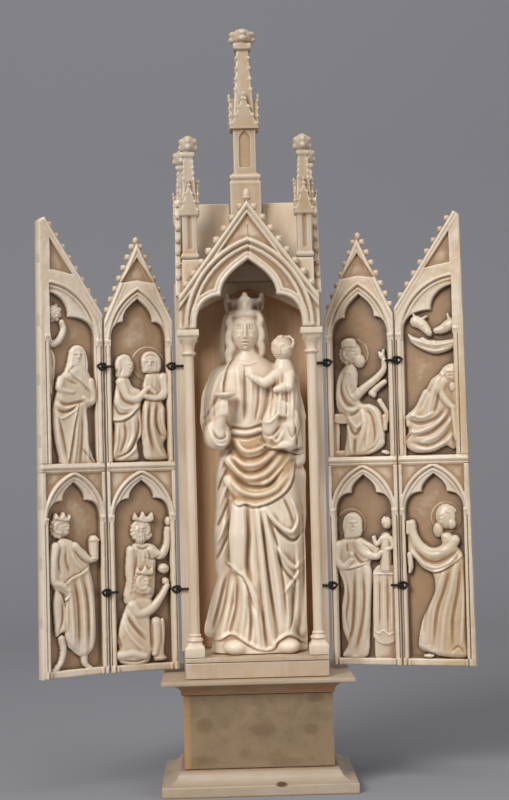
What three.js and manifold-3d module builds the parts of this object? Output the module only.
// Tabernacle shrine: a carved ivory Virgin and Child in a gabled niche with four hinged
// leaves, on a moulded pedestal. Millimetres, +Z up, front towards -Y, origin at the
// centre of the pedestal's underside. Modelled at rest with the leaves half open.
import * as THREE from 'three';
import { mergeVertices } from 'three/addons/utils/BufferGeometryUtils.js';
import Module from 'manifold-3d';

const wasm = await Module();
wasm.setup();

// Driving dimensions
const SEAM = 0.25;                        // visible joint between two stacked pieces
const FOOT = { hw: 45, hd: 36, slab: 4.8, coveTop: 9.2, top: 10.8 };
const DIE = { hw: 34.5, hd: 25.5, top: 44.8 };
const CORNICE = { hw: 44.3, hd: 35.3, cove: 46.2, lip: 50.4, top: 52.4 };
const CASE = { front: -28.4, back: 20, hwFront: 33, hwBack: 35.2, floorTop: 59.9, slabTop: 62.2 };
const TROUGH = { front: 0.6, inner: 13.5, hwOuter: 35.2, hwInner: 29.5, top: 238 };
const COLUMN = { x: 28.6, y: -23.6, shaft: 2.35, top: 213.8 };
const GABLE = { foot: 229, apex: 273.5, hw: 32.6, archHalf: 30, archApex: 256 };
const TREFOIL = { half: 24.6, spring: 214.6, cuspX: 12.9, cuspZ: 229.2, apex: 246, round: true };
const ROOF = { ridgeY: -3.5, ridge: 278, eaves: 231, hwSide: 34.6 };
const PINNACLE_AT = { xFront: 26.8, yFront: -21.6, xRear: 30.6, yRear: 14.4, base: 246.6 };
const SPIRE = { y: -3.5, blockHalf: 7.4, base: 262, collar: 283 };
const LEAF = { thick: 5.5, sink: 3.7, bottom: 54, frame: 3.1, transom: 151.2, gap: 0.4 };
const INNER = { width: 33.4, foot: 220.5, apex: 257.5, tilt: 17 };
const OUTER = { width: 34.4, widthTop: 32, foot: 223.5, apex: 268, tiltLeft: 33, tiltRight: 18 };
const HINGE = { x: 35.9, y: 0, upper: 198.5, lower: 92, wire: 0.42, face: -0.62, eye: 1.05 };
const CURVE = 3;                          // chords per arc of an arch on the leaves
const FINE_CURVE = 5;                     // chords per arc of the canopy's arch

const IVORY = new THREE.Color(0.84, 0.76, 0.62);
const WIRE = new THREE.Color(0.05, 0.045, 0.04);
const rad = THREE.MathUtils.degToRad;
const v3 = (x, y, z) => new THREE.Vector3(x, y, z);

// Geometry to solid and back
function solidOf(geometry) {
  const g = geometry.clone();
  g.deleteAttribute('normal');
  g.deleteAttribute('uv');
  const merged = mergeVertices(g, 1e-4);
  const tris = [];
  const index = merged.index.array;
  for (let i = 0; i < index.length; i += 3) {
    const [a, b, c] = [index[i], index[i + 1], index[i + 2]];
    if (a !== b && b !== c && a !== c) tris.push(a, b, c);
  }
  const p = merged.attributes.position;
  const at = (i) => v3(p.getX(i), p.getY(i), p.getZ(i));
  let volume = 0;
  for (let i = 0; i < tris.length; i += 3) {
    volume += at(tris[i]).dot(at(tris[i + 1]).cross(at(tris[i + 2])));
  }
  if (volume < 0) {
    for (let i = 0; i < tris.length; i += 3) [tris[i], tris[i + 1]] = [tris[i + 1], tris[i]];
  }
  const triVerts = new Uint32Array(tris);
  const vertProperties = new Float32Array(p.array);
  return new wasm.Manifold(new wasm.Mesh({ numProp: 3, vertProperties, triVerts }));
}

function geometryOf(solid) {
  const mesh = solid.getMesh();
  const g = new THREE.BufferGeometry();
  g.setAttribute('position', new THREE.BufferAttribute(new Float32Array(mesh.vertProperties), 3));
  g.setIndex(new THREE.BufferAttribute(new Uint32Array(mesh.triVerts), 1));
  g.computeVertexNormals();
  return g;
}

const join = (solids) => solids.reduce((sum, s) => sum.add(s));
const cut = (body, tools) => tools.reduce((left, t) => left.subtract(t), body);
const shifted = (geometry, x, y, z) => geometry.clone().translate(x, y, z);

// Moves every vertex of a geometry by a rule
function warp(geometry, rule) {
  const p = geometry.attributes.position;
  const v = v3(0, 0, 0);
  for (let i = 0; i < p.count; i++) {
    v.fromBufferAttribute(p, i);
    rule(v);
    p.setXYZ(i, v.x, v.y, v.z);
  }
  return geometry;
}

// Basic forms, all standing along +Z
function block(x0, x1, y0, y1, z0, z1) {
  return new THREE.BoxGeometry(x1 - x0, y1 - y0, z1 - z0)
    .translate((x0 + x1) / 2, (y0 + y1) / 2, (z0 + z1) / 2);
}

function turned(profile, sides) {
  const points = profile.map(([r, z]) => new THREE.Vector2(r, z));
  return new THREE.LatheGeometry(points, sides).rotateX(Math.PI / 2);
}

// A rectangular block whose four sides carry the same moulding: rows of [inset, z]
function moulded(hw, hd, rows) {
  const ring = rows.map(([inset, z]) => [(hw - inset) * Math.SQRT2, z]);
  const profile = [[0, ring[0][1]], ...ring, [0, ring[ring.length - 1][1]]];
  const g = turned(profile, 4).rotateZ(Math.PI / 4);
  return warp(g, (v) => {
    if (Math.abs(v.y) > 1e-6) v.y -= Math.sign(v.y) * (hw - hd);
  });
}

// Extrudes an outline drawn in x and z, from y0 back to y1
function slab(outline, y0, y1, curveSegments = CURVE) {
  const g = new THREE.ExtrudeGeometry(outline, { depth: y1 - y0, bevelEnabled: false, curveSegments });
  return g.rotateX(Math.PI / 2).translate(0, y1, 0);
}

function polygon(points) {
  return new THREE.Shape(points.map(([x, z]) => new THREE.Vector2(x, z)));
}

function ball(x, y, z, rx, ry, rz, wide = 5, high = 3) {
  return new THREE.SphereGeometry(1, wide, high).rotateX(Math.PI / 2).scale(rx, ry, rz).translate(x, y, z);
}

// A tapered, round-ended limb between two points, flattened in y by the factor flat
function limb(from, to, r0, r1, sides = 6, flat = 1) {
  const length = from.distanceTo(to);
  const profile = [[0, -0.7 * r0], [r0, 0.12 * length], [r1, 0.9 * length], [0, length + 0.7 * r1]];
  const g = turned(profile, sides).scale(1, flat, 1);
  const turn = new THREE.Quaternion().setFromUnitVectors(v3(0, 0, 1), to.clone().sub(from).normalize());
  return g.applyQuaternion(turn).translate(from.x, from.y, from.z);
}

// A draped body: rows of { z, x, y, hw, hd, lobe } with folds round each row
function draped(rows, sides, folds) {
  const profile = rows.map((row, i) => [i + 1, row.z]);
  profile.unshift([0, rows[0].z]);
  profile.push([0, rows[rows.length - 1].z]);
  const g = turned(profile, sides);
  return warp(g, (v) => {
    const k = Math.round(Math.hypot(v.x, v.y)) - 1;
    const row = rows[k < 0 ? (v.z <= rows[0].z + 1e-6 ? 0 : rows.length - 1) : k];
    if (k < 0) {
      v.x = row.x;
      v.y = row.y;
      return;
    }
    const angle = Math.atan2(v.y, v.x);
    const fold = 1 + (row.lobe ?? 0) * Math.cos(folds * angle + 0.09 * row.z);
    v.x = row.x + row.hw * fold * Math.cos(angle);
    v.y = row.y + row.hd * fold * Math.sin(angle);
  });
}

// Half of a trefoil arch, drawn from the spring (x = half) to the apex (x = 0)
function trefoilHalf(path, a, side) {
  const rise = a.apex - a.cuspZ;
  path.quadraticCurveTo(side * a.half, a.cuspZ - 0.3, side * a.cuspX, a.cuspZ);
  const top = a.round ? [0.62 * a.cuspX, a.apex] : [0.3 * a.cuspX, a.apex - 0.18 * rise];
  path.bezierCurveTo(side * 1.03 * a.cuspX, a.cuspZ + 0.5 * rise, side * top[0], top[1], 0, a.apex);
}

// A closed opening: straight jambs down to bottom, a trefoil arch on top
function trefoilOpening(a, bottom, chords = CURVE) {
  const s = new THREE.Shape();
  s.moveTo(0, bottom);
  s.lineTo(a.half, bottom);
  s.lineTo(a.half, a.spring);
  trefoilHalf(s, a, 1);
  const left = new THREE.Path();
  left.moveTo(-a.half, a.spring);
  trefoilHalf(left, a, -1);
  left.getPoints(chords).reverse().slice(1).forEach((p) => s.lineTo(p.x, p.y));
  s.lineTo(-a.half, bottom);
  s.closePath();
  return s;
}

// A pointed arch of two arcs, solid down to bottom
function pointedArch(half, spring, apex, bottom, steps = 5) {
  const rise = apex - spring;
  const centre = (rise * rise - half * half) / (2 * half);
  const radius = half + centre;
  const sweep = Math.atan2(rise, centre);
  const right = [];
  for (let i = 0; i <= steps; i++) {
    const a = (sweep * i) / steps;
    right.push([radius * Math.cos(a) - centre, spring + radius * Math.sin(a)]);
  }
  const left = right.slice(0, -1).reverse().map(([x, z]) => [-x, z]);
  return polygon([[half, bottom], ...right, ...left, [-half, bottom]]);
}

// Crocket buds along a slope, between two points of a vertical plane
function crockets(from, to, count, radius) {
  const buds = [];
  for (let i = 0; i < count; i++) {
    const p = from.clone().lerp(to, (i + 0.5) / count);
    buds.push(solidOf(new THREE.OctahedronGeometry(radius, 0).translate(p.x, p.y, p.z)));
  }
  return buds;
}

// Pedestal
function pedestalFoot() {
  const rise = FOOT.coveTop - FOOT.slab;
  const rows = [[0, 0], [0, FOOT.slab]];
  for (let i = 1; i <= 3; i++) {
    const a = (i / 3) * (Math.PI / 2);
    rows.push([7.4 * Math.sin(a), FOOT.slab + rise * (1 - Math.cos(a))]);
  }
  rows.push([8.3, FOOT.coveTop], [8.3, FOOT.top]);
  return solidOf(moulded(FOOT.hw, FOOT.hd, rows));
}

function pedestalDie() {
  return solidOf(moulded(DIE.hw, DIE.hd, [[0, FOOT.top + SEAM], [0, DIE.top]]));
}

function pedestalCornice() {
  const under = DIE.top + SEAM;
  const reach = CORNICE.hw - DIE.hw - 1;
  const rows = [[reach, under], [reach, CORNICE.cove]];
  for (let i = 1; i <= 3; i++) {
    const a = (i / 3) * (Math.PI / 2);
    rows.push([reach - (reach - 1.2) * (1 - Math.cos(a)), CORNICE.cove + (CORNICE.lip - CORNICE.cove) * Math.sin(a)]);
  }
  rows.push([0, CORNICE.lip], [0, CORNICE.top]);
  return solidOf(moulded(CORNICE.hw, CORNICE.hd, rows));
}

// Floor pieces: a plan wider behind than in front
function planBlock(front, back, z0, z1) {
  const depth = CASE.back - CASE.front;
  const g = block(-1, 1, CASE.front, CASE.back, z0, z1);
  return warp(g, (v) => {
    const t = (v.y - CASE.front) / depth;
    v.x *= front + (back - front) * t;
  });
}

const shrineFloor = () => solidOf(planBlock(CASE.hwFront, CASE.hwBack, CORNICE.top + SEAM, CASE.floorTop));
const floorSlab = () => solidOf(planBlock(CASE.hwFront, CASE.hwBack, CASE.floorTop + SEAM, CASE.slabTop));

// Back plate: a trough hollowed like the tusk it comes from
function backPlate() {
  const plan = (hw, y0, y1) => {
    const bow = new THREE.Shape();
    bow.moveTo(-hw, y0);
    bow.lineTo(hw, y0);
    bow.lineTo(hw, y1 - 5);
    bow.quadraticCurveTo(hw - 0.5, y1, hw - 9, y1);
    bow.lineTo(9 - hw, y1);
    bow.quadraticCurveTo(0.5 - hw, y1, -hw, y1 - 5);
    bow.closePath();
    return bow;
  };
  const z0 = CASE.slabTop + SEAM;
  const upright = (shape, bottom, top) =>
    new THREE.ExtrudeGeometry(shape, { depth: top - bottom, bevelEnabled: false, curveSegments: 4 })
      .translate(0, 0, bottom);
  const outer = solidOf(upright(plan(TROUGH.hwOuter, TROUGH.front, CASE.back), z0, TROUGH.top));
  const hollow = solidOf(upright(plan(TROUGH.hwInner, -5, TROUGH.inner), z0 - 5, 218));
  const notches = [];
  for (const side of [-1, 1]) {
    for (const z of [HINGE.upper, HINGE.lower]) {
      const x0 = side * (TROUGH.hwOuter - 4.6);
      const x1 = side * (TROUGH.hwOuter + 2);
      notches.push(solidOf(block(Math.min(x0, x1), Math.max(x0, x1), TROUGH.front - 1, 2, z - 0.8, z + 0.8)));
    }
  }
  const vault = solidOf(slab(pointedArch(TROUGH.hwInner, 217.9, 235, 217), -5, TROUGH.inner - 0.05));
  return cut(outer, [hollow, vault, ...notches]);
}

// Colonnette: block base, torus, slender shaft, bell capital under a square abacus
function colonnette(side) {
  const z0 = CASE.slabTop + SEAM;
  const r = COLUMN.shaft;
  const x = side * COLUMN.x;
  const baseHalf = 4.5;
  const capHalf = 5;
  const base = moulded(baseHalf, baseHalf, [[0, z0], [0, z0 + 4.2], [1.3, z0 + 6.2], [1.3, z0 + 6.8]]);
  const shaft = turned([[0, z0 + 6], [r + 1.5, z0 + 7.4], [r, z0 + 10], [r, COLUMN.top - 11.4],
    [r + 1.2, COLUMN.top - 10.2], [r + 0.3, COLUMN.top - 9], [r + 1.9, COLUMN.top - 4.6], [0, COLUMN.top - 4.4]], 6);
  const abacus = moulded(capHalf, capHalf, [[1.2, COLUMN.top - 5], [0.9, COLUMN.top - 3.2], [0, COLUMN.top - 3],
    [0, COLUMN.top]]);
  return join([base, shaft, abacus].map((g) => solidOf(shifted(g, x, COLUMN.y, 0))));
}

// Canopy
function canopyShell() {
  const bottom = COLUMN.top + SEAM;
  const wallBack = CASE.back;
  const front = polygon([[-GABLE.hw, bottom], [GABLE.hw, bottom], [GABLE.hw, GABLE.foot],
    [0, GABLE.apex], [-GABLE.hw, GABLE.foot]]);
  const plate = solidOf(slab(front, CASE.front, CASE.front + 6.5));
  const walls = solidOf(warp(block(-1, 1, CASE.front + 1, wallBack, bottom, ROOF.eaves), (v) => {
    v.x *= GABLE.hw + (ROOF.hwSide - GABLE.hw) * ((v.y - CASE.front) / (wallBack - CASE.front));
  }));
  const nave = solidOf(slab(polygon([[-GABLE.hw + 1.5, GABLE.foot - 2], [GABLE.hw - 1.5, GABLE.foot - 2],
    [12, GABLE.apex - 20], [0, GABLE.apex - 2]].concat([[-12, GABLE.apex - 20]])), CASE.front + 2, wallBack - 1));
  return join([plate, walls, nave, transept(ROOF.ridge - 2.4, ROOF.hwSide - 2.6, 1.6)]);
}

// The cross roof and its side gables: a concave-sided prism along x
function transept(ridge, halfLength, inset) {
  const half = 20.8 - inset;
  const z0 = ROOF.eaves - 3;
  const shape = polygon([[-half, z0], [half, z0], [0.52 * half, z0 + 0.34 * (ridge - z0)], [0, ridge],
    [-0.52 * half, z0 + 0.34 * (ridge - z0)]]);
  const prism = slab(shape, -halfLength, halfLength).rotateZ(Math.PI / 2);
  return solidOf(prism.translate(0, ROOF.ridgeY, 0));
}

function sideGable(side) {
  const half = 20.8;
  const z0 = ROOF.eaves - 1;
  const shape = polygon([[-half, z0], [half, z0], [0, ROOF.ridge]]);
  const plate = slab(shape, -1.4, 1.4).rotateZ(Math.PI / 2).translate(side * (ROOF.hwSide - 2), ROOF.ridgeY, 0);
  const solids = [solidOf(plate)];
  for (const way of [-1, 1]) {
    const x = side * (ROOF.hwSide - 2);
    const low = v3(x, ROOF.ridgeY + way * (half - 2), z0 + 5.5);
    const high = v3(x, ROOF.ridgeY + way * 0.6, ROOF.ridge);
    solids.push(...crockets(low, high, 7, 1.5));
  }
  return solids;
}

function canopy() {
  const bottom = COLUMN.top + SEAM;
  const proud = CASE.front - 1.1;
  const rake = (drop) => polygon([[-GABLE.hw, GABLE.foot - drop], [0, GABLE.apex - drop * 1.25],
    [GABLE.hw, GABLE.foot - drop], [GABLE.hw, GABLE.foot], [0, GABLE.apex], [-GABLE.hw, GABLE.foot]]);
  const rakes = solidOf(slab(rake(3.4), proud, CASE.front + 0.5));
  const archRoll = solidOf(slab(pointedArch(GABLE.archHalf, bottom + 0.4, GABLE.archApex, bottom), proud + 0.2, CASE.front + 0.5))
    .subtract(solidOf(slab(pointedArch(GABLE.archHalf - 3, bottom, GABLE.archApex - 4.2, bottom - 2), proud - 1, CASE.front)));
  const rim = { ...TREFOIL, half: TREFOIL.half + 1.9, cuspX: TREFOIL.cuspX + 2.2, cuspZ: TREFOIL.cuspZ + 1.4,
    apex: TREFOIL.apex + 3 };
  const trefoilRim = solidOf(slab(trefoilOpening(rim, bottom, FINE_CURVE), proud + 0.5, CASE.front + 0.5, FINE_CURVE));
  const posts = [[PINNACLE_AT.xFront, PINNACLE_AT.yFront], [PINNACLE_AT.xRear, PINNACLE_AT.yRear]]
    .flatMap(([x, y]) => [-1, 1].map((side) => solidOf(block(side * x - 3.9, side * x + 3.9, y - 3.9, y + 3.9,
      ROOF.eaves - 2, PINNACLE_AT.base))));
  const buds = [];
  for (const side of [-1, 1]) {
    const low = v3(side * (GABLE.hw - 1.5), CASE.front + 1.6, GABLE.foot + 3.2);
    const high = v3(side * 1.5, CASE.front + 1.6, GABLE.apex - 0.5);
    buds.push(...crockets(low, high, 8, 1.9));
  }
  const tip = solidOf(ball(0, CASE.front + 1.6, GABLE.apex + 2.4, 1.9, 1.7, 3.4));
  const spireSeat = solidOf(block(-SPIRE.blockHalf - 1, SPIRE.blockHalf + 1, SPIRE.y - 8.4, SPIRE.y + 8.4,
    GABLE.foot, SPIRE.base - SEAM));
  const body = join([canopyShell(), ...sideGable(-1), ...sideGable(1), rakes, archRoll, trefoilRim, ...posts,
    ...buds, tip, spireSeat]);
  const opening = solidOf(slab(trefoilOpening(TREFOIL, bottom - 3, FINE_CURVE), CASE.front - 5, CASE.front + 5, FINE_CURVE));
  const vault = solidOf(slab(pointedArch(26.4, bottom, 249, bottom - 3), CASE.front + 4.9, TROUGH.front + 1));
  const housing = solidOf(block(-TROUGH.hwOuter - 3, TROUGH.hwOuter + 3, TROUGH.front - SEAM, CASE.back + 3,
    bottom - 3, TROUGH.top + SEAM));
  const sideArch = solidOf(slab(pointedArch(8.4, bottom + 3, 234, bottom - 3, 4), -50, 50).rotateZ(Math.PI / 2)
    .translate(0, -10.2, 0));
  const spireHole = solidOf(block(-SPIRE.blockHalf - SEAM, SPIRE.blockHalf + SEAM, SPIRE.y - SPIRE.blockHalf - SEAM,
    SPIRE.y + SPIRE.blockHalf + SEAM, SPIRE.base - SEAM, SPIRE.base + 30));
  return cut(body, [opening, vault, housing, sideArch, spireHole]);
}

// Four gablets round a square shaft, crossing in the middle
function gablets(x, y, z0, z1, half) {
  const shape = polygon([[-half, z0], [half, z0], [0, z1]]);
  const across = slab(shape, -half, half);
  const along = across.clone().rotateZ(Math.PI / 2);
  return [across, along].map((g) => solidOf(shifted(g, x, y, 0)));
}

function lancets(x, y, half, z0, z1, wide, deep) {
  const tools = [];
  for (let k = 0; k < 4; k++) {
    const niche = block(-wide, wide, half - deep, half + 5, z0, z1).rotateZ((k * Math.PI) / 2);
    tools.push(solidOf(shifted(niche, x, y, 0)));
  }
  return tools;
}

function finialBud(x, y, z0, z1, r) {
  const h = z1 - z0;
  const g = turned([[0, z0 - 1], [0.45 * r, z0], [r, z0 + 0.3 * h], [r, z0 + 0.62 * h], [0.5 * r, z0 + 0.9 * h],
    [0, z1]], 6);
  return solidOf(shifted(g, x, y, 0));
}

function pinnacle(x, y) {
  const z0 = PINNACLE_AT.base + SEAM;
  const collar = moulded(4.3, 4.3, [[0.8, z0], [0, z0 + 0.9], [0, z0 + 1.8], [0.8, z0 + 2.6]]);
  const shaft = moulded(3.5, 3.5, [[0, z0 + 1], [0, z0 + 21]]);
  const upper = moulded(3.9, 3.9, [[0, z0 + 20], [1.6, z0 + 48], [0.8, z0 + 48.4], [0.8, z0 + 50]]);
  const body = join([collar, shaft, upper].map((g) => solidOf(shifted(g, x, y, 0)))
    .concat(gablets(x, y, z0 + 20.4, z0 + 36, 4.6), [finialBud(x, y, z0 + 49.5, 305.4, 4.7)]));
  return cut(body, lancets(x, y, 3.5, z0 + 4.4, z0 + 20, 1, 0.9));
}

function spire() {
  const half = SPIRE.blockHalf;
  const c = SPIRE.collar;
  const foot = moulded(half, half, [[0, SPIRE.base + SEAM], [0, c]]);
  const collar = moulded(7.6, 7.6, [[0.7, c - 0.2], [0, c + 0.7], [0, c + 2.2], [0.9, c + 3], [0, c + 3.8],
    [0, c + 5], [1.6, c + 6]]);
  const shaft = moulded(5.4, 5.4, [[0, c + 5], [0, c + 29]]);
  const upper = moulded(5.6, 5.6, [[0, c + 27], [2.8, 349], [1.2, 349.4], [1.2, 352]]);
  const body = join([foot, collar, shaft, upper].map((g) => solidOf(shifted(g, 0, SPIRE.y, 0)))
    .concat(gablets(0, SPIRE.y, c + 27.4, 326.5, 7), [finialBud(0, SPIRE.y, 351.6, 360, 6.7)]));
  return cut(body, lancets(0, SPIRE.y, 5.4, c + 9, c + 26.5, 2.6, 1));
}

// Leaves. Drawn flat: u runs from the viewer's left edge, the relief face lies at y = 0
function leafOutline(kind, width) {
  if (kind === 'inner') {
    return polygon([[0, LEAF.bottom], [width, LEAF.bottom], [width, INNER.foot], [width / 2, INNER.apex],
      [0, INNER.foot]]);
  }
  const top = OUTER.widthTop;
  return polygon([[0, LEAF.bottom], [width, LEAF.bottom], [top, OUTER.apex - 2], [top - 2.6, OUTER.apex],
    [0, OUTER.foot]]);
}

function leafRecesses(kind, width) {
  const inside = width / 2 - LEAF.frame;
  const lower = trefoilOpening({ half: inside, spring: 127, cuspX: 6.2, cuspZ: 136, apex: 144.6 }, LEAF.bottom + 3);
  const sunk = (shape, x) => solidOf(slab(shape, -1, LEAF.sink).translate(x, 0, 0));
  if (kind === 'inner') {
    const upper = trefoilOpening({ half: inside, spring: 210.5, cuspX: 7.4, cuspZ: 220, apex: 231 }, LEAF.transom + 1.6);
    const field = polygon([[-8.6, 238.2], [8.6, 238.2], [0, 250.6]]);
    const gableField = solidOf(slab(field, -1, 1.3).translate(width / 2, 0, 0));
    return [sunk(lower, width / 2), sunk(upper, width / 2), gableField];
  }
  const arch = { half: 26.2, spring: 212, cuspX: 12.8, cuspZ: 222, apex: 233.5, round: true };
  const whole = solidOf(slab(trefoilOpening(arch, LEAF.transom + 1.6), -1, LEAF.sink).translate(width - 4.6, 0, 0));
  const keep = solidOf(block(LEAF.frame, OUTER.widthTop - 4.4, -2, LEAF.thick, LEAF.transom, 240));
  const field = polygon([[15.2, 241.2], [OUTER.widthTop - 4.8, 244], [OUTER.widthTop - 4.8, 260]]);
  return [sunk(lower, width / 2 - 0.8), whole.intersect(keep), solidOf(slab(field, -1, 1.3))];
}

function leafCrockets(kind, width) {
  const y = LEAF.thick / 2;
  const slope = (x0, z0, x1, z1, n) => crockets(v3(x0, y, z0), v3(x1, y, z1), n, 1.6);
  if (kind === 'outer') {
    return slope(1.2, OUTER.foot + 2.8, OUTER.widthTop - 4.4, OUTER.apex - 1.2, 8);
  }
  const mid = width / 2;
  return [...slope(0.8, INNER.foot + 2, mid - 1, INNER.apex + 0.4, 7),
    ...slope(width - 0.8, INNER.foot + 2, mid + 1, INNER.apex + 0.4, 7),
    solidOf(ball(mid, y, INNER.apex + 1.4, 1.5, 1.5, 1.8))];
}

// Relief figures: everything swells out of the sunk ground
const ground = LEAF.sink;

function reliefHead(u, z, r) {
  return solidOf(ball(u, ground - 0.4, z, r, 2.6, 1.25 * r, 5, 4));
}

function reliefRobe(rows, deep = 3.1) {
  const full = rows.map(([z, u, hw]) => ({ z, x: u, y: ground + 0.4, hw, hd: deep, lobe: 0.07 }));
  return solidOf(draped(full, 8, 4));
}

function reliefArm(points, r) {
  const solids = [];
  for (let i = 1; i < points.length; i++) {
    const [u0, z0] = points[i - 1];
    const [u1, z1] = points[i];
    solids.push(solidOf(limb(v3(u0, ground - 1.6, z0), v3(u1, ground - 1.9, z1), r, 0.8 * r, 4)));
  }
  return solids;
}

const reliefBlock = (u0, u1, z0, z1, deep) => solidOf(block(u0, u1, ground - deep, ground + 0.3, z0, z1));

// A standing figure: foot level, hem, knees, waist, shoulders, neck
function standing(u, z0, height, hw, lean = 0) {
  const row = (t, k, shift = 0) => [z0 + t * height, u + lean * t + shift, hw * k];
  return reliefRobe([row(0, 1), row(0.35, 0.86, 0.4), row(0.62, 0.8, -0.5), row(0.84, 0.92), row(1, 0.36)]);
}

const SCENES = {
  left_outer_leaf: () => [
    standing(22, 152.8, 46, 8.6, -0.4), reliefHead(21.6, 203.6, 3.6),
    ...reliefArm([[15.4, 192], [14.4, 184], [21.5, 183.4]], 2.2), ...reliefArm([[28.4, 191], [27.5, 182], [21.5, 184]], 2.3),
    standing(9.2, 176, 38, 4.4, 1.4), reliefHead(10.4, 219.6, 3.3), ...reliefArm([[10, 209], [15.4, 203.6]], 1.5),
    standing(14.6, 57, 62, 8.8, -0.6), reliefHead(13.2, 124.6, 3.8),
    ...reliefArm([[20.5, 116], [26, 108], [26.8, 112]], 1.9), ...reliefArm([[8.6, 115], [7.4, 103], [14, 95.4]], 1.9),
    solidOf(limb(v3(27.4, ground - 1.6, 107), v3(27.4, ground - 1.6, 114), 2, 2, 6))],
  left_inner_leaf: () => [
    standing(10.6, 153.6, 41, 6.6, -0.2), reliefHead(10.8, 199.4, 3.7),
    standing(23.6, 153.6, 41, 7, 0.2), reliefHead(22.6, 199.4, 3.8),
    ...reliefArm([[12, 189], [13.6, 183.4], [20.4, 184.6]], 1.9), ...reliefArm([[28, 190], [28, 182], [20.8, 182.6]], 1.9),
    reliefRobe([[57, 17, 11.6], [62, 17.4, 12.4], [76, 17.6, 8.8], [88, 16.2, 5.6], [91, 15.6, 3.6]]),
    reliefHead(17.6, 95, 3.6), ...reliefArm([[20, 86], [25.4, 88], [27.6, 99]], 1.8), reliefHead(28, 101.6, 2),
    reliefRobe([[84, 20, 6.8], [98, 19.4, 6.4], [112, 18, 6.4], [116, 17.6, 3.4]]), reliefHead(17.4, 121, 3.7),
    ...reliefArm([[22, 112], [26, 107], [29.4, 113]], 1.8)],
  right_inner_leaf: () => [
    reliefRobe([[153.8, 17.6, 11.6], [158, 18, 12.2], [168, 18.8, 11.8], [176, 18, 9.8], [184, 14.8, 7.4],
      [193, 14, 6.6], [197.6, 13.6, 2.8]]),
    reliefHead(13.6, 203.4, 3.8), ...reliefArm([[19, 192], [24.6, 186], [28, 197]], 1.9),
    ...reliefArm([[9, 192], [9, 181], [18, 179]], 2), reliefBlock(3.6, 11, 153.4, 171.6, 2.6),
    standing(11.6, 57, 58, 8, -1), reliefHead(10.2, 121.6, 3.8),
    ...reliefArm([[15, 112], [18.6, 104], [25, 107]], 1.9),
    reliefBlock(21, 30.2, 57, 97, 2.6), reliefRobe([[97, 27, 2.6], [104, 27, 3.2], [113, 27, 2.8], [115, 27, 1.4]], 2.4),
    reliefHead(27, 118.4, 2.7)],
  right_outer_leaf: () => [
    reliefRobe([[153.8, 18.6, 12.6], [158, 18.6, 13], [168, 19.4, 11.6], [178, 22, 8.6], [184, 25, 5.6]]),
    reliefHead(26, 190, 3.8), reliefHead(27.4, 180.6, 2.6), ...reliefArm([[14, 170], [21, 172], [25.6, 177]], 2),
    reliefRobe([[203, 18.6, 9], [206, 18.6, 12.2], [211, 18.6, 12.8], [212.4, 18.6, 12]], 2.4),
    solidOf(limb(v3(10.4, ground - 1.2, 217.6), v3(16, ground - 1.4, 212.8), 2.8, 1.7, 6)),
    solidOf(limb(v3(28.2, ground - 1.2, 217.4), v3(23, ground - 1.4, 212.6), 2.6, 1.6, 6)),
    standing(21, 57, 61, 8.8, -0.8), reliefHead(20.6, 124.6, 3.8),
    ...reliefArm([[23, 114], [17, 107], [7.4, 116.6]], 2.3), ...reliefArm([[12, 112], [7, 108.6], [6.4, 117]], 1.7)],
};

// Grooves that take the wire loops: one lies level, its mate stands upright and leaves
// room at the leaf's edge for the eye that it turns on
function loopGroove(u, z, towards, upright) {
  const groove = (reach, half, y1) => solidOf(block(Math.min(u, u + towards * reach) - 1.4,
    Math.max(u, u + towards * reach) + 1.4, -1, y1, z - half, z + half));
  if (!upright) return groove(4.4, 0.8, 1.3);
  const eyeRoom = solidOf(block(u - 1.9, u + 1.9, -1, 1.5, z - 0.9, z + 0.9));
  return groove(4.4, 2.6, 0.25).add(eyeRoom);
}

function leaf(name, kind, width, grooves) {
  const plate = solidOf(slab(leafOutline(kind, width), 0, LEAF.thick));
  let body = join([cut(plate, leafRecesses(kind, width)), ...leafCrockets(kind, width)]);
  if (name === 'left_outer_leaf') body = body.mirror([1, 0, 0]).translate([width, 0, 0]);
  const within = solidOf(block(0.6, width - 0.6, -0.4, ground + 0.3, LEAF.bottom + 1, 232));
  const figures = join(SCENES[name]()).intersect(within);
  const tools = grooves.map(([u, z, towards, upright]) => loopGroove(u, z, towards, upright));
  return cut(body.add(figures), tools);
}

// Virgin and Child, one carving
function virginBody() {
  const rows = [
    { z: 62.45, x: 0.4, y: -7, hw: 22.5, hd: 13.4, lobe: 0.05 },
    { z: 74, x: 1, y: -7, hw: 21, hd: 12.6, lobe: 0.09 },
    { z: 86, x: 2, y: -7, hw: 19, hd: 12, lobe: 0.08 },
    { z: 107, x: 3.8, y: -7.2, hw: 18.4, hd: 11.8, lobe: 0.07 },
    { z: 126, x: 5, y: -7.4, hw: 18.6, hd: 11.8, lobe: 0.06 },
    { z: 152, x: 4.4, y: -6.4, hw: 17.6, hd: 11, lobe: 0.04 },
    { z: 163, x: 2, y: -5.4, hw: 15, hd: 9.6, lobe: 0.02 },
    { z: 175, x: 0.4, y: -4.8, hw: 15.4, hd: 9 },
    { z: 188, x: -1.6, y: -4.6, hw: 16.6, hd: 8.6 },
    { z: 197, x: -2.2, y: -4.6, hw: 15, hd: 7.8 },
    { z: 203, x: -1.8, y: -5, hw: 8.4, hd: 6 },
    { z: 206, x: -1.4, y: -5.4, hw: 4.4, hd: 4.6 },
  ];
  return solidOf(draped(rows, 16, 7));
}

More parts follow.
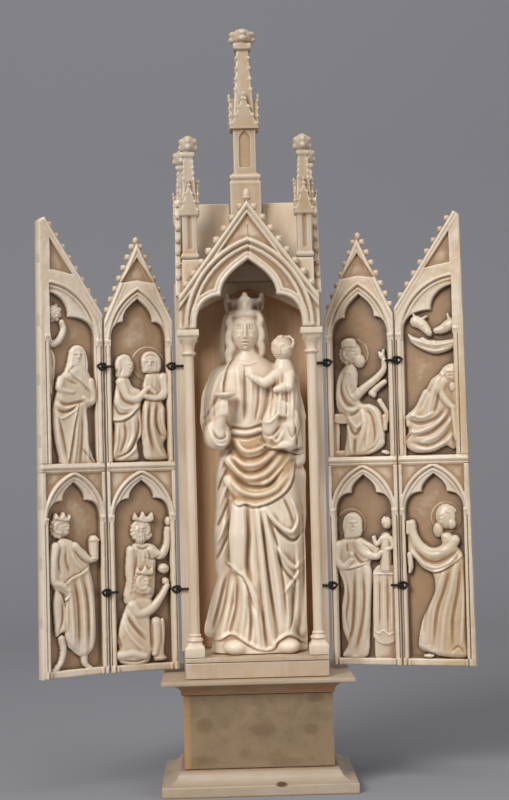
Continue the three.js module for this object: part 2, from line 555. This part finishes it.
function virginHead() {
  const head = ball(-1, -6.6, 216, 6.4, 7.2, 8.8, 8, 6);
  const veil = draped([{ z: 199, x: -1.4, y: -3.4, hw: 9, hd: 5 }, { z: 207, x: -1.2, y: -3.2, hw: 9.2, hd: 6 },
    { z: 217, x: -1, y: -3.4, hw: 8.6, hd: 7 }, { z: 224, x: -0.8, y: -4, hw: 7.4, hd: 7 },
    { z: 227, x: -0.8, y: -4.4, hw: 5, hd: 5.4 }], 8, 4);
  const crown = turned([[0, 221], [7.3, 221.4], [8.4, 227.6], [6.4, 227.6], [0, 225]], 8).translate(-0.9, -5.2, 0);
  const solids = [head, veil, crown].map(solidOf);
  for (let k = 0; k < 5; k++) {
    const a = -Math.PI / 2 + (k * 2 * Math.PI) / 5;
    solids.push(solidOf(ball(-0.9 + 7.5 * Math.cos(a), -5.2 + 7.5 * Math.sin(a), 229.6, 2.6, 2.6, 3, 4, 3)));
  }
  return solids;
}

// Her right arm and hand with the broken stem, its wide cuff, and the mantle round it
function virginArm() {
  const shoulder = v3(-16, -5, 193);
  const elbow = v3(-20.4, -10, 170);
  const hand = v3(-12.4, -19.4, 174);
  return [limb(shoulder, elbow, 6.4, 6, 7), limb(elbow, hand, 5.2, 3, 6), limb(hand, v3(-11, -20, 181), 2.2, 1.7, 5),
    turned([[0, 181], [2, 181], [5.2, 184.4], [5.2, 186], [0, 186]], 7).translate(-10.6, -20, 0),
    ball(-17, -13.6, 163, 5.4, 6, 7.4, 6, 5)].map(solidOf);
}

function child() {
  const seat = v3(14, -14, 176);
  const hips = v3(12.4, -15.4, 169);
  const chest = v3(13.2, -15, 192);
  const bodyRows = [{ z: 160, x: 12, y: -14, hw: 7.6, hd: 5.8, lobe: 0.06 }, { z: 170, x: 12.6, y: -14, hw: 7.8, hd: 6 },
    { z: 182, x: 13.6, y: -14, hw: 7.4, hd: 5.8 }, { z: 193, x: 13.6, y: -14, hw: 6, hd: 5 },
    { z: 201.5, x: 13.8, y: -14, hw: 2.8, hd: 3 }];
  return [draped(bodyRows, 8, 4), ball(14.6, -14.4, 205.6, 5.4, 5.6, 5.9, 6, 5),
    limb(v3(9.4, -17, 193), v3(1.6, -17.4, 191.4), 2.4, 1.6, 5), limb(chest, v3(8, -19.6, 188), 2.5, 1.9, 5),
    limb(hips, v3(8.6, -20, 158), 4.2, 2.4, 6), limb(seat, v3(17, -18.6, 163), 4.4, 2.6, 6)].map(solidOf);
}

// Her left forearm and hand under him, and the cloth falling below
function supportingArm() {
  return [limb(v3(19, -8, 186), v3(21, -12, 174), 5.4, 5.2, 6), limb(v3(21, -12, 174), v3(12.6, -19.6, 183), 4, 2.2, 5),
    limb(v3(20.4, -12, 170), v3(21.4, -12, 150), 4.4, 3, 6)].map(solidOf);
}

// Mantle swags over the waist, the cascade at her right, the train and the shoe tips
function mantle() {
  const swags = [[161, -8, 15, -14.6, 3.2], [150, -11, 17, -16.6, 3.6], [140.5, -12.6, 16, -17.4, 3.2]];
  const solids = swags.flatMap(([z, x0, x1, y, r]) => {
    const low = v3((x0 + x1) / 2 - 1, y, z - 5);
    return [limb(v3(x0, y + 3, z + 3), low, 0.8 * r, r, 5), limb(low, v3(x1, y + 3, z + 6), r, 0.8 * r, 5)];
  });
  const folds = [[[-6, -17.4, 128], [-9, -18.6, 100]], [[-4, -17.6, 104], [-1.5, -19, 68]], [[2, -18, 134], [7.4, -18.8, 66]],
    [[8, -18, 138], [16, -17, 104]], [[12, -17.6, 112], [16.6, -17, 68]], [[20.4, -11, 140], [21.6, -11, 72]]];
  for (const [a, b] of folds) solids.push(limb(v3(...a), v3(...b), 2.6, 2.2, 4));
  const cascade = [[-15.4, -8, 160, 122, 4], [-18, -9, 128, 98, 3.6]];
  for (const [x, y, top, bottom, r] of cascade) solids.push(limb(v3(x + 2, y, top), v3(x - 1.5, y, bottom), 0.7 * r, r, 5));
  solids.push(limb(v3(-13, -9, 100), v3(-21.4, -9, 72), 3, 5, 5));
  solids.push(ball(-9.4, -17.6, 66.4, 5.6, 5.6, 5, 6, 4), ball(14.4, -16.6, 66, 5.8, 5.6, 4.6, 6, 4));
  return solids.map(solidOf);
}

function virginAndChild() {
  const all = join([virginBody(), ...virginHead(), ...virginArm(), ...child(), ...supportingArm(), ...mantle()]);
  const keep = solidOf(block(-40, 40, -28, TROUGH.inner - 1.2, CASE.slabTop + SEAM, 240));
  return all.intersect(keep);
}

// Wire loops at a hinge: a level eye round the axis, and an upright link standing on it.
// Each is a torus whose centre line is led through the points [across, along] of a plane
function wireLoop(points, place) {
  const ring = 10;
  const g = new THREE.TorusGeometry(ring, HINGE.wire, 4, points.length);
  return solidOf(warp(g, (v) => {
    const turn = (Math.atan2(v.y, v.x) / (2 * Math.PI) + 1) % 1;
    const k = Math.round(turn * points.length) % points.length;
    const [before, here, after] = [-1, 0, 1].map((d) => points.at((k + d) % points.length));
    const away = new THREE.Vector2(after[1] - before[1], before[0] - after[0]).normalize();
    const out = Math.hypot(v.x, v.y) - ring;
    place(v, here[0] + out * away.x, here[1] + out * away.y, v.z);
  }));
}

function levelEye(z, towards) {
  const e = HINGE.eye;
  const reach = 3.2;
  const side = [[1.05, 0], [0.74, 0.74], [0, e], [-reach, e], [-reach - 0.9, 0], [-reach, -e], [0, -e], [0.74, -0.74]];
  return wireLoop(side, (v, across, along, lift) => v.set(-towards * across, along, z + lift));
}

function uprightLink(z, towards) {
  const h = 1.9;
  const reach = 3.8;
  const side = [[reach, 0], [0.7 * reach, 0.8 * h], [0.4 * reach, h], [0.3, h], [-0.1, 0.7 * h], [-0.1, -0.7 * h],
    [0.3, -h], [0.4 * reach, -h], [0.7 * reach, -0.8 * h]];
  return wireLoop(side, (v, across, along, lift) => v.set(towards * across, lift, z + along));
}

// Assembly
const group = new THREE.Group();
const ivory = (tint = 1, roughness = 0.5) => new THREE.MeshStandardMaterial({
  color: IVORY.clone().multiplyScalar(tint), roughness, metalness: 0 });
const wireFinish = () => new THREE.MeshStandardMaterial({ color: WIRE, roughness: 0.6, metalness: 0.5 });

function add(parent, name, solid, material = ivory()) {
  const mesh = new THREE.Mesh(geometryOf(solid), material);
  mesh.name = name;
  parent.add(mesh);
}

add(group, 'pedestal_foot', pedestalFoot(), ivory(0.97));
add(group, 'pedestal_die', pedestalDie(), ivory(0.84, 0.6));
add(group, 'pedestal_cornice', pedestalCornice(), ivory(0.97));
add(group, 'shrine_floor', shrineFloor());
add(group, 'floor_slab', floorSlab());
add(group, 'back_plate', backPlate(), ivory(0.9, 0.6));
add(group, 'virgin_and_child', virginAndChild());
add(group, 'left_colonnette', colonnette(-1));
add(group, 'right_colonnette', colonnette(1));
add(group, 'canopy', canopy());
add(group, 'front_left_pinnacle', pinnacle(-PINNACLE_AT.xFront, PINNACLE_AT.yFront));
add(group, 'front_right_pinnacle', pinnacle(PINNACLE_AT.xFront, PINNACLE_AT.yFront));
add(group, 'rear_left_pinnacle', pinnacle(-PINNACLE_AT.xRear, PINNACLE_AT.yRear));
add(group, 'rear_right_pinnacle', pinnacle(PINNACLE_AT.xRear, PINNACLE_AT.yRear));
add(group, 'spire', spire());

// Each side swings as a chain: case, inner leaf, outer leaf. Group origins lie on the hinge axes
function wing(label, side) {
  const inner = new THREE.Group();
  inner.position.set(side * HINGE.x, HINGE.y, 0);
  inner.rotation.z = -side * rad(INNER.tilt);
  group.add(inner);
  const outer = new THREE.Group();
  const span = INNER.width + 2 * LEAF.gap;
  outer.position.set(side * span, 0, 0);
  outer.rotation.z = -side * rad((side < 0 ? OUTER.tiltLeft : OUTER.tiltRight) - INNER.tilt);
  inner.add(outer);

  const nearEdge = (width) => (side < 0 ? width : 0);
  const farEdge = (width) => (side < 0 ? 0 : width);
  const heights = [HINGE.upper, HINGE.lower];
  const innerGrooves = heights.flatMap((z) => [[nearEdge(INNER.width), z, side, true], [farEdge(INNER.width), z, -side, false]]);
  const outerGrooves = heights.map((z) => [nearEdge(OUTER.width), z, side, true]);
  const placed = (solid, width) =>
    solid.translate([side < 0 ? -width - LEAF.gap : LEAF.gap, -HINGE.face, 0]);
  const innerName = `${label}_inner_leaf`;
  const outerName = `${label}_outer_leaf`;
  add(inner, innerName, placed(leaf(innerName, 'inner', INNER.width, innerGrooves), INNER.width));
  add(outer, outerName, placed(leaf(outerName, 'outer', OUTER.width, outerGrooves), OUTER.width));

  for (const [level, z] of [['upper', HINGE.upper], ['lower', HINGE.lower]]) {
    const caseEye = new THREE.Group();
    caseEye.position.set(side * HINGE.x, HINGE.y, 0);
    group.add(caseEye);
    add(caseEye, `${label}_case_eye_${level}`, levelEye(z, -side), wireFinish());
    add(inner, `${label}_inner_link_${level}`, uprightLink(z, side), wireFinish());
    const leafEye = new THREE.Group();
    leafEye.position.set(side * span, 0, 0);
    inner.add(leafEye);
    add(leafEye, `${label}_inner_eye_${level}`, levelEye(z, -side), wireFinish());
    add(outer, `${label}_outer_link_${level}`, uprightLink(z, side), wireFinish());
  }
}

wing('left', -1);
wing('right', 1);

export default group;
